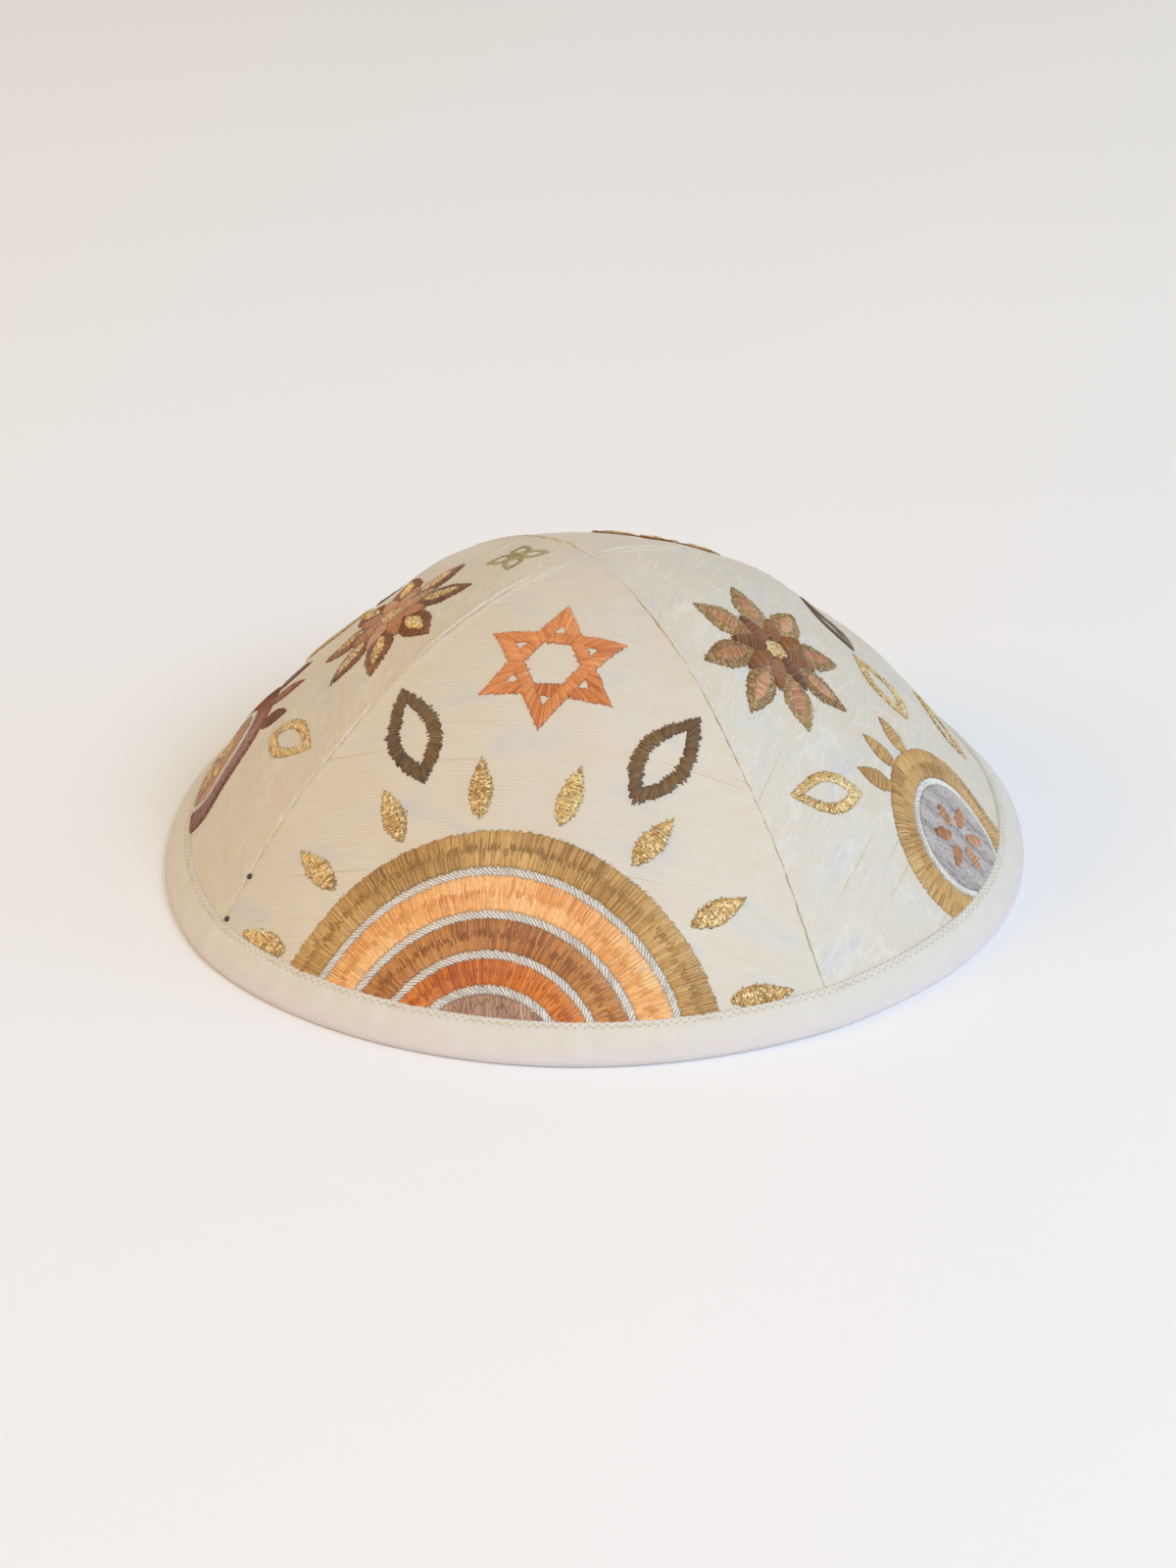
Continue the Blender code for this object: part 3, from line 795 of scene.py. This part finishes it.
class Needle:
    """Lays embroidery stitches on one gore, as rows of x0, y0, x1, y1, rise, tone."""

    def __init__(self, surface, stitches, gore, seed):
        self.surface, self.stitches, self.gore = surface, stitches, gore
        self.pitch = stitches.embroidery_pitch / MM
        self.rng = np.random.default_rng(seed)

    def rows(self, starts, ends, rise, tone=0.0, spread=1.0):
        """Stitches from starts to ends; tone is 0 to 1, with a random spread."""
        count = len(starts)
        slow = np.sin(np.arange(count) / 23.0 + self.rng.uniform(0, tau)) * 0.5 + 0.5
        tones = np.clip(tone + spread * (0.6 * self.rng.random(count) + 0.4 * slow), 0, 1)
        rises = rise * self.rng.uniform(0.85, 1.15, count)
        return np.column_stack([starts, ends, rises, tones])

    def satin(self, rail_a, rail_b, rise=0.34, ragged=0.10, tone=0.0, spread=1.0, parts=1, pitch=None, slant=0.0):
        """Stitches across a band between two rails, in one or more rows that interlock.

        slant is how far a stitch leans along the band, in millimetres.
        """
        middle = (rail_a + rail_b) / 2
        far = np.concatenate([[0], np.cumsum(np.hypot(*np.diff(middle, axis=0).T))])
        count = max(int(far[-1] / (pitch or self.pitch)), 2)
        made = []
        for part in range(parts):
            at = np.linspace(0, far[-1], count) + self.rng.normal(0, 0.04, count)
            a = np.column_stack([np.interp(at, far, rail_a[:, i]) for i in (0, 1)])
            b = np.column_stack([np.interp(at + slant, far, rail_b[:, i]) for i in (0, 1)])
            across = b - a
            width = np.maximum(np.hypot(*across.T), 1e-6)[:, None]
            low, high = part / parts, (part + 1) / parts
            shift = self.rng.normal(0, ragged, (count, 2))
            if part > 0:
                shift[:, 0] = self.rng.uniform(-1.5, -0.1, count)
            if part < parts - 1:
                shift[:, 1] = self.rng.uniform(0.1, 1.5, count)
            starts = a + across * (low + shift[:, :1] / width)
            ends = a + across * (high + shift[:, 1:] / width)
            made.append(self.rows(starts, ends, rise, tone, spread))
        return np.concatenate(made)

    def filled(self, outlines, heading, stitch=None, rise=0.30, ragged=0.12, tone=0.0, spread=1.0, pitch=None):
        """Parallel stitches that fill the outlines, at a heading in degrees from x."""
        turn = radians(heading)
        frame_axes = np.array([[cos(turn), sin(turn)], [-sin(turn), cos(turn)]])
        edges = []
        for outline in outlines:
            local = outline @ frame_axes.T
            edges.append(np.column_stack([local, np.roll(local, -1, axis=0)]))
        edges = np.concatenate(edges)
        low, high = edges[:, [1, 3]].min(), edges[:, [1, 3]].max()
        starts, ends = [], []
        for v in np.arange(low + 0.1, high, pitch or self.pitch):
            crossing = (edges[:, 1] > v) != (edges[:, 3] > v)
            e = edges[crossing]
            us = np.sort(e[:, 0] + (v - e[:, 1]) * (e[:, 2] - e[:, 0]) / (e[:, 3] - e[:, 1]))
            for u0, u1 in zip(us[::2], us[1::2]):
                cuts = [u0]
                if stitch:
                    cut = u0 + stitch * self.rng.uniform(0.25, 1.0)
                    while cut < u1 - 0.3 * stitch:
                        cuts.append(cut)
                        cut += stitch * self.rng.uniform(0.75, 1.25)
                cuts.append(u1)
                jitter = self.rng.normal(0, ragged, 2)
                cuts[0] += jitter[0]
                cuts[-1] += jitter[1]
                for a, b in zip(cuts, cuts[1:]):
                    if b - a > 0.35:
                        starts.append((a, v + self.rng.normal(0, 0.03)))
                        ends.append((b, v + self.rng.normal(0, 0.03)))
        starts, ends = np.array(starts) @ frame_axes, np.array(ends) @ frame_axes
        return self.rows(starts, ends, rise, tone, spread)

    def clipped(self, rows):
        """The stitches cut off just under the tape's edge."""
        def beyond(x, y):
            local = self.surface.from_flat(x, y)[0]
            return np.hypot(x, y) - self.surface.tape_edge(local + 90 * self.gore) - 0.5

        over0, over1 = beyond(rows[:, 0], rows[:, 1]), beyond(rows[:, 2], rows[:, 3])
        rows, over0, over1 = (part[(over0 < 0) | (over1 < 0)] for part in (rows, over0, over1))
        share = np.clip(over0 / np.where(over0 == over1, 1, over0 - over1), 0, 1)
        cut = rows[:, :2] + (rows[:, 2:4] - rows[:, :2]) * share[:, None]
        rows[:, :2] = np.where((over0 > 0)[:, None], cut, rows[:, :2])
        rows[:, 2:4] = np.where((over1 > 0)[:, None], cut, rows[:, 2:4])
        return rows

    def sew(self, name, rows, material, thickness):
        """Turns the stitches to strands on the cap, thickness times the usual one."""
        rows = self.clipped(np.concatenate(rows) if isinstance(rows, list) else rows)
        t = np.array([[0, 0.09, 0.30, 0.70, 0.91, 1]])
        x = rows[:, 0:1] + (rows[:, 2:3] - rows[:, 0:1]) * t
        y = rows[:, 1:2] + (rows[:, 3:4] - rows[:, 1:2]) * t
        local, level = self.surface.from_flat(x, y)
        arch = np.sqrt(np.clip(4 * t * (1 - t), 0, 1))
        seam_distance = self.surface.radius * level * np.sin(np.radians(45 - np.abs(local))) / MM
        short = np.minimum(1, np.hypot(rows[:, 2] - rows[:, 0], rows[:, 3] - rows[:, 1]) / 1.6)[:, None]
        lift = (arch * rows[:, 4:5] * short - 0.10) * MM
        lift = lift + ripple(self.surface, self.gore, local, x, y, seam_distance)
        points = self.surface.point(local + 90 * self.gore, level, lift)
        tones = np.repeat(rows[:, 5:6], t.shape[1], axis=1)
        length = np.hypot(rows[:, 2] - rows[:, 0], rows[:, 3] - rows[:, 1])[:, None]
        lying = np.clip(length * np.minimum(t, 1 - t) / 0.9, 0, 1)
        mesh = line_mesh(name, points, attributes={"tone": ("FLOAT", tones), "lying": ("FLOAT", lying)})
        values = {
            "Radius": self.stitches.embroidery_thread * thickness,
            "Sides": self.stitches.strand_sides,
            "Thread": material,
        }
        return apply_tree(name, mesh, bpy.data.node_groups["embroidery_strands"], values)


def turned_points(points, angle, centre):
    """Points about the origin, turned by degrees and moved to a centre."""
    a = radians(angle)
    spin = np.array([[cos(a), sin(a)], [-sin(a), cos(a)]])
    return points @ spin + np.array(centre)


def leaf_sides(length, width, bulge=0.85):
    """The two sides of a leaf from its foot at (0, length / 2) up to its tip."""
    t = np.linspace(0, 1, 41)
    half = width / 2 * np.sin(pi * t**bulge)
    along = length / 2 - length * t
    return np.column_stack([-half, along]), np.column_stack([half, along])


def ring(centre, radius, first=-90, last=90):
    """A circular rail; degrees are from straight up the gore, to the right."""
    a = np.radians(np.linspace(first, last, 181))
    return np.column_stack([centre[0] + radius * np.sin(a), centre[1] - radius * np.cos(a)])


def solid_leaf(needle, length, width, angle, centre, **how):
    """A leaf filled with stitches across it."""
    left, right = leaf_sides(length, width)
    return needle.satin(turned_points(left, angle, centre), turned_points(right, angle, centre), **how)


def open_leaf(needle, length, width, stroke, angle, centre, **how):
    """A leaf drawn by a satin line along its edge."""
    outer = leaf_sides(length, width)
    inner = leaf_sides(length - 3.2 * stroke, width - 2 * stroke)
    made = []
    for outside, inside in zip(outer, inner):
        made.append(
            needle.satin(turned_points(outside, angle, centre), turned_points(inside, angle, centre), **how)
        )
    return np.concatenate(made)


def star_bars(needle, radius, stroke, angle, centre, **how):
    """A six-pointed star of two triangles, each of three bars, the second on top."""
    made = []
    for k in range(2):
        corners = np.array([[sin(a), -cos(a)] for a in np.radians([0, 120, 240]) + k * pi])
        outer = corners * radius
        inner = corners * (radius - 2 * stroke)
        for i in range(3):
            ends = [i, (i + 1) % 3]
            share = np.linspace(0, 1, 30)[:, None]
            a = outer[ends[0]] + (outer[ends[1]] - outer[ends[0]]) * share
            b = inner[ends[0]] + (inner[ends[1]] - inner[ends[0]]) * share
            made.append(
                needle.satin(
                    turned_points(a, angle, centre),
                    turned_points(b, angle, centre),
                    rise=0.30 + 0.14 * k,
                    ragged=0.17,
                    **how,
                )
            )
    return np.concatenate(made)


def petals(needle, count, length, width, radius, centre, offset=0, **how):
    """A ring of filled petals round a centre."""
    made = []
    for i in range(count):
        angle = offset + i * 360 / count
        a = radians(angle)
        place = (centre[0] + radius * sin(a), centre[1] - radius * cos(a))
        made.append(solid_leaf(needle, length, width, angle, place, **how))
    return np.concatenate(made)


def disc(centre, radius):
    return ring(centre, radius, 0, 358)


# Embroidery threads: colours from dark to light, how metallic, how strong the painted glitter of glints and dark
# facets is, and how thick beside the usual strand
THREADS = {
    "olive": {"name": "olive_rayon_thread", "colours": ("#9c733a", "#cda05c", "#e2bc7c")},
    "peach": {"name": "peach_rayon_thread", "colours": ("#e69c52", "#ffc07a", "#ffd69a")},
    "brown": {"name": "tan_rayon_thread", "colours": ("#905428", "#c98646", "#dc9e5c")},
    "orange": {"name": "orange_rayon_thread", "colours": ("#b4541c", "#e0812f", "#f2a250")},
    "mauve": {"name": "mauve_rayon_thread", "colours": ("#886250", "#c4967e", "#a88664", "#deb29e")},
    "amber": {"name": "amber_rayon_thread", "colours": ("#b25e2c", "#e08a48", "#f2aa6c")},
    "gold": {
        "name": "gold_wrapped_thread",
        "colours": ("#b98e48", "#e6c07c", "#f6dc9c"),
        "metal": 0.3,
        "painted_glitter": 0.8,
    },
    "straw": {"name": "straw_rayon_thread", "colours": ("#9c8c56", "#bcab74", "#d2c492")},
    "umber": {"name": "umber_rayon_thread", "colours": ("#4c3318", "#71512a", "#8e6e40")},
    "cinnamon": {"name": "cinnamon_rayon_thread", "colours": ("#5c3214", "#8a5226", "#ac7038")},
    "charcoal": {"name": "charcoal_cotton_thread", "colours": ("#33312e", "#4c4a45")},
    "silver": {
        "name": "silver_grey_cord",
        "colours": ("#cfc9c1", "#efebe4", "#ded8d0"),
        "thick": 1.3,
    },
    "bronze": {
        "name": "bronze_wrapped_thread",
        "colours": ("#7d5a2c", "#a37e48", "#bd9860"),
        "metal": 0.2,
        "painted_glitter": 0.3,
    },
    "copper": {"name": "copper_rayon_thread", "colours": ("#a86c40", "#cc9468", "#dcb08c"), "metal": 0.1},
    "grey": {"name": "dove_grey_thread", "colours": ("#8f8886", "#bdb4ae", "#cfc6bc")},
    "rust": {"name": "rust_rayon_thread", "colours": ("#5e2812", "#8a4522", "#a86236")},
    "rose": {"name": "old_rose_thread", "colours": ("#94705c", "#bf967c", "#d2b096")},
}


def thread_material(key):
    thread = THREADS[key]
    found = bpy.data.materials.get(thread["name"])
    return found or embroidery_thread(
        thread["name"], thread["colours"], thread.get("metal", 0.0), 0.42, thread.get("painted_glitter", 0.0)
    )


def sew_all(needle, prefix, work):
    """Sews a dictionary of thread key to stitch rows, one piece for each thread."""
    for key, rows in work.items():
        name = prefix + "_" + key + "_embroidery"
        needle.sew(name, rows, thread_material(key), THREADS[key].get("thick", 1.0))


def cord_line(needle, rail_a, rail_b):
    """A line of thick slanting stitches that looks like a laid cord."""
    return needle.satin(rail_a, rail_b, rise=0.26, ragged=0.04, pitch=0.80, slant=1.7)


def front_work(needle):
    """A rising fan of arcs with gold rays, a star above it and a leaf on either side."""
    hub = (0, 116)
    arcs = (
        ("olive", 47.0, 39.8, 2),
        ("peach", 38.2, 31.4, 2),
        ("brown", 29.8, 23.8, 2),
        ("orange", 22.2, 17.2, 1),
    )
    work = {"silver": []}
    for key, outer, inner, parts in arcs:
        band = ring(hub, outer), ring(hub, inner)
        work[key] = [needle.satin(*band, parts=parts, rise=0.40, ragged=0.16)]
        middle = (outer + inner) / 2
        # A middle row in the thread's darkest tones: a painted shade line along the middle of each band.
        seam = ring(hub, middle + 1.0), ring(hub, middle - 1.0)
        work[key].append(needle.satin(*seam, rise=0.54, ragged=0.6, spread=0.18, pitch=0.46))
        work["silver"].append(cord_line(needle, ring(hub, inner - 0.2), ring(hub, inner - 1.6)))
    core = np.concatenate([ring(hub, 15.4), [hub]])
    work["mauve"] = [needle.filled([core], 84, stitch=3.4, rise=0.28)]
    work["gold"] = []
    for turn in (9, 27, 45, 63):
        for side in (-1, 1):
            a = radians(turn)
            place = (hub[0] + side * 56 * sin(a), hub[1] - 56 * cos(a))
            work["gold"].append(solid_leaf(needle, 13.0, 4.6, side * turn, place, rise=0.46, ragged=0.18))
    work["amber"] = [star_bars(needle, 15.0, 2.7, 0, (0, 33))]
    work["umber"] = [
        open_leaf(needle, 24, 10.5, 2.5, side * 20, (side * 24.5, 48), rise=0.38, ragged=0.26)
        for side in (-1, 1)
    ]
    work["charcoal"] = thread_knots(needle, ((-55.9, 75.7), (-60.3, 84.6)))
    return work


def small_flower(needle, centre):
    """Four little open petals."""
    made = []
    for turn in (0, 90, 180, 270):
        a = radians(turn)
        place = (centre[0] + 3.6 * sin(a), centre[1] - 3.6 * cos(a))
        made.append(open_leaf(needle, 6.4, 4.4, 0.8, turn, place, rise=0.26))
    return made


def thread_knots(needle, places):
    """Small stray knots: short strands crossed over each other."""
    made = []
    for x, y in places:
        for heading in (10, 55, 100, 150):
            a = radians(heading)
            reach = np.array([[0.5 * cos(a), 0.5 * sin(a)]])
            made.append(needle.rows(np.array([[x, y]]) - reach, np.array([[x, y]]) + reach, 0.9))
    return made


def side_work(needle, facing, rosette, fruit):
    """A rosette, sprigs of leaves and a large fruit that runs under the binding.

    rosette names the threads of the petals, of their middles and of the inner petals;
    fruit those of the rind, the flesh and the seeds.
    """
    work = {key: [] for key in ("gold", "umber", "silver", *rosette, *fruit)}
    flower = (facing * -7, 42)
    petal, middle, inner = rosette
    work[petal].append(petals(needle, 8, 13.6, 7.0, 12.2, flower, rise=0.36, ragged=0.18))
    work[middle].append(petals(needle, 8, 9.4, 3.4, 12.0, flower, rise=0.66))
    work[inner].append(petals(needle, 8, 8.6, 4.4, 6.0, flower, 22.5, rise=0.60))
    work["gold"].append(needle.filled([disc(flower, 2.6)], 0, rise=0.62))
    for x, y, turn in ((14, 66, 28), (-30, 64, -42), (30, 84, 14)):
        work["gold"].append(open_leaf(needle, 19, 9, 2.2, facing * turn, (facing * x, y), rise=0.34))
    work["umber"].append(open_leaf(needle, 20, 7.5, 2.3, facing * 40, (facing * 27, 50), rise=0.36))
    rind, flesh, seeds = fruit
    heart = (facing * -9, 95)
    work[rind].append(needle.satin(disc(heart, 20.0), disc(heart, 13.2), parts=2, rise=0.38))
    for turn in (-20, 0, 20):
        a = radians(turn)
        tip = (heart[0] + 24.0 * sin(a), heart[1] - 24.0 * cos(a))
        work[rind].append(solid_leaf(needle, 10.0, 4.6, turn, tip, rise=0.36))
    work["silver"].append(cord_line(needle, disc(heart, 13.0), disc(heart, 11.6)))
    work[flesh].append(needle.filled([disc(heart, 11.4)], 78, stitch=3.2, rise=0.28))
    work[seeds].append(petals(needle, 6, 6.0, 3.1, 5.2, heart, 15, rise=0.62))
    return work


class SKULLCAP_OT_gores(bpy.types.Operator):
    """Sews the four silk gores"""

    bl_idname = "skullcap.gores"
    bl_label = "Sew gores"

    def execute(self, context):
        scene = context.scene
        surface = CapSurface(scene.cap_sizes)
        plain = dupioni_silk("ivory_dupioni_silk", scene.cap_colours, False)
        crinkled = dupioni_silk("crinkled_dupioni_silk", scene.cap_colours, True)
        backing = backing_cloth(scene.cap_colours)
        for index, name in enumerate(GORES):
            silk = crinkled if name in ("right", "left") else plain
            mesh = gore_mesh(surface, scene.cap_sizes, index, [silk, backing])
            made = add_mesh_object("silk_gore_" + name, mesh)
            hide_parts("gore_" + name)
        return {"FINISHED"}


class SKULLCAP_OT_binding(bpy.types.Operator):
    """Folds the tape round the rim"""

    bl_idname = "skullcap.binding"
    bl_label = "Bind rim"

    def execute(self, context):
        scene = context.scene
        surface = CapSurface(scene.cap_sizes)
        tape = bias_tape(scene.cap_colours, surface, scene.cap_stitches)
        mesh = tape_mesh(surface, scene.cap_sizes, scene.cap_stitches, tape)
        made = add_mesh_object("binding_tape", mesh)
        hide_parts("rim_binding")
        return {"FINISHED"}


class SKULLCAP_OT_sewing(bpy.types.Operator):
    """Sews the binding's edge stitches and the seams"""

    bl_idname = "skullcap.sewing"
    bl_label = "Sew stitches"

    def execute(self, context):
        scene = context.scene
        sizes, stitches = scene.cap_sizes, scene.cap_stitches
        surface = CapSurface(sizes)
        tree = stitch_tree()
        thread = sewing_thread(scene.cap_colours)
        self.zigzag(surface, sizes, stitches, thread)
        self.seams(surface, sizes, stitches, tree, thread)
        return {"FINISHED"}

    def zigzag(self, surface, sizes, stitches, thread):
        """The zigzag along each leg of the tape, one strand for each stitch."""
        turn = edge_turn(surface, stitches)
        first = np.arange(0, 360 - turn / 2, turn)[:, None]
        share = np.array([[0, 0.15, 0.5, 0.85, 1]])
        azimuth = first + turn * share
        way = np.where(np.arange(len(first)) % 2, 1, -1)[:, None]
        below = stitches.edge_inset + way * (1 - 2 * share) * stitches.edge_zigzag
        top = surface.edge_levels(azimuth.ravel(), sizes.foot_lift, sizes.tape_width)[1]
        far = np.interp(top, surface.levels, surface.arc).reshape(azimuth.shape) + below
        level = np.interp(far, surface.arc, surface.levels)
        rise = sizes.tape_thickness + (0.10 * np.sin(pi * share) - 0.14) * MM
        values = {
            "Radius": stitches.sewing_thread * 0.4,
            "Sides": stitches.strand_sides,
            "Thread": thread,
        }
        for name, lift in (("outer", rise), ("inner", -surface.wall - rise)):
            mesh = line_mesh(name + "_edge_lines", surface.point(azimuth, level, lift))
            made = apply_tree(name + "_edge_stitches", mesh, strand_tree(), values)

    def seams(self, surface, sizes, stitches, tree, thread):
        """Small stitches along the four seams."""
        level = np.interp(
            np.linspace(0.002, surface.arc[-1] - sizes.tape_width - 0.002, 120), surface.arc, surface.levels
        )
        azimuth = np.array([45.0, 135.0, 225.0, 315.0])[:, None] + 0 * level[None, :]
        level = np.broadcast_to(level[None, :], azimuth.shape)
        points = surface.point(azimuth, level, 0.04 * MM)
        off = (surface.point(azimuth, level, MM) - surface.point(azimuth, level, 0)) / MM
        mesh = line_mesh("seam_lines", points, attributes={"off_cloth": ("FLOAT_VECTOR", off)})
        values = {
            "Pitch": stitches.seam_pitch,
            "Length": stitches.seam_pitch * 0.8,
            "Thickness": stitches.sewing_thread * 0.65,
            "Across": 0.0,
            "Thread": thread,
        }
        made = apply_tree("seam_stitches", mesh, tree, values)


class SKULLCAP_OT_embroidery(bpy.types.Operator):
    """Embroiders the four gores"""

    bl_idname = "skullcap.embroidery"
    bl_label = "Embroider gores"

    def execute(self, context):
        scene = context.scene
        surface = CapSurface(scene.cap_sizes)
        strand_tree()
        front, right, back, left = (Needle(surface, scene.cap_stitches, gore, 40 + gore) for gore in range(4))
        left_side = side_work(left, -1, ("cinnamon", "gold", "copper"), ("rust", "rose", "gold"))
        left_side["straw"] = small_flower(left, (-1.5, 15.5))
        sew_all(front, "front", front_work(front))
        sew_all(right, "right", side_work(right, 1, ("bronze", "copper", "cinnamon"), ("olive", "grey", "copper")))
        sew_all(back, "back", side_work(back, 1, ("cinnamon", "gold", "copper"), ("olive", "mauve", "copper")))
        sew_all(left, "left", left_side)
        return {"FINISHED"}


# Soft lights, aimed at the cap: place in metres, size across, power in watts
LIGHTS = (
    {
        "name": "daylight_front",
        "place": (1.55, -1.5, 1.8),
        "size": 1.8,
        "power": 46.0,
        "hex_colour": "#deeaff",
    },
    {
        "name": "warm_lamp_left",
        "place": (-1.9, -1.0, 1.35),
        "size": 1.1,
        "power": 17.5,
        "hex_colour": "#ffc070",
    },
    {
        "name": "window_right",
        "place": (2.1, 0.2, 1.1),
        "size": 1.8,
        "power": 15.5,
        "hex_colour": "#a6cfff",
    },
)


class SKULLCAP_OT_stage(bpy.types.Operator):
    """Sets the floor, the lights and the camera"""

    bl_idname = "skullcap.stage"
    bl_label = "Set stage"

    def execute(self, context):
        scene = context.scene
        self.floor()
        world = bpy.data.worlds.new("studio")
        scene.world = world
        world.use_nodes = True
        background = world.node_tree.nodes["Background"]
        background.inputs["Color"].default_value = linear("#fff6dc")
        background.inputs["Strength"].default_value = 0.50
        for light in LIGHTS:
            self.softbox(**light)
        self.camera(scene)
        scene.view_settings.view_transform = "Standard"
        return {"FINISHED"}

    def floor(self):
        material, tree, shader = new_material("matt_white_paper", Roughness=0.9, Specular_IOR_Level=0.2)
        place = add_node(tree, "ShaderNodeTexCoord").outputs["Object"]
        noise = add_node(tree, "ShaderNodeTexNoise", {"Vector": place, "Scale": 120.0, "Detail": 3.0})
        colour = mixed(tree, calculated(tree, "MULTIPLY", noise.outputs["Fac"], 0.05), linear("#f6f8fc"), linear("#eaecf0"))
        tree.links.new(colour, shader.inputs["Base Color"])
        mesh = bpy.data.meshes.new("floor")
        half = 3.0
        mesh.from_pydata([(-half, -half, 0), (half, -half, 0), (half, half, 0), (-half, half, 0)], [], [(0, 1, 2, 3)])
        mesh.materials.append(material)
        floor = bpy.data.objects.new("floor", mesh)
        bpy.context.scene.collection.objects.link(floor)

    def softbox(self, name, place, size, power, hex_colour):
        light = bpy.data.lights.new(name, "AREA")
        light.shape = "DISK"
        light.size = size
        light.energy = power
        light.color = linear(hex_colour)[:3]
        lamp = bpy.data.objects.new(name, light)
        bpy.context.scene.collection.objects.link(lamp)
        aim = Vector((0, 0, 0.03)) - Vector(place)
        lamp.location = place
        lamp.rotation_euler = aim.to_track_quat("-Z", "Y").to_euler()

    def camera(self, scene):
        azimuth, elevation, roll = radians(13.76), radians(28.02), radians(-0.70)
        distance = 0.6722
        target = Vector((-0.0009 * cos(azimuth), -0.0009 * sin(azimuth), 0.0132))
        back = Vector((sin(azimuth) * cos(elevation), -cos(azimuth) * cos(elevation), sin(elevation)))
        right = Vector((cos(azimuth), sin(azimuth), 0))
        up = back.cross(right)
        turned_right = right * cos(roll) + up * sin(roll)
        turned_up = up * cos(roll) - right * sin(roll)
        camera = bpy.data.objects.new("camera", bpy.data.cameras.new("camera"))
        camera.data.sensor_fit = "VERTICAL"
        camera.data.sensor_height = 36.0
        camera.data.lens = 74.55
        axes = Matrix((turned_right, turned_up, back)).transposed()
        camera.matrix_world = Matrix.Translation(target + back * distance) @ axes.to_4x4()
        scene.collection.objects.link(camera)
        scene.camera = camera


class SKULLCAP_PT_panel(bpy.types.Panel):
    """Sizes, colours and steps of the cap"""

    bl_label = "Skullcap"
    bl_idname = "SKULLCAP_PT_panel"
    bl_space_type = "VIEW_3D"
    bl_region_type = "UI"
    bl_category = "Skullcap"

    def draw(self, context):
        scene = context.scene
        for group in (scene.cap_sizes, scene.cap_stitches, scene.cap_colours):
            box = self.layout.box()
            for name in group.__annotations__:
                box.prop(group, name)
        for step in STEPS:
            self.layout.operator(step.bl_idname)


GROUPS = {"cap_sizes": CapSizes, "cap_stitches": StitchSizes, "cap_colours": ClothColours}
STEPS = (
    SKULLCAP_OT_gores,
    SKULLCAP_OT_binding,
    SKULLCAP_OT_sewing,
    SKULLCAP_OT_embroidery,
    SKULLCAP_OT_stage,
)


def register():
    for name, group in GROUPS.items():
        bpy.utils.register_class(group)
        setattr(bpy.types.Scene, name, bpy.props.PointerProperty(type=group))
    for cls in (*STEPS, SKULLCAP_PT_panel):
        bpy.utils.register_class(cls)


def unregister():
    for cls in (SKULLCAP_PT_panel, *reversed(STEPS)):
        bpy.utils.unregister_class(cls)
    for name, group in GROUPS.items():
        delattr(bpy.types.Scene, name)
        bpy.utils.unregister_class(group)


def main():
    register()
    for step in STEPS:
        area, action = step.bl_idname.split(".")
        getattr(getattr(bpy.ops, area), action)()


if __name__ == "__main__":
    main()
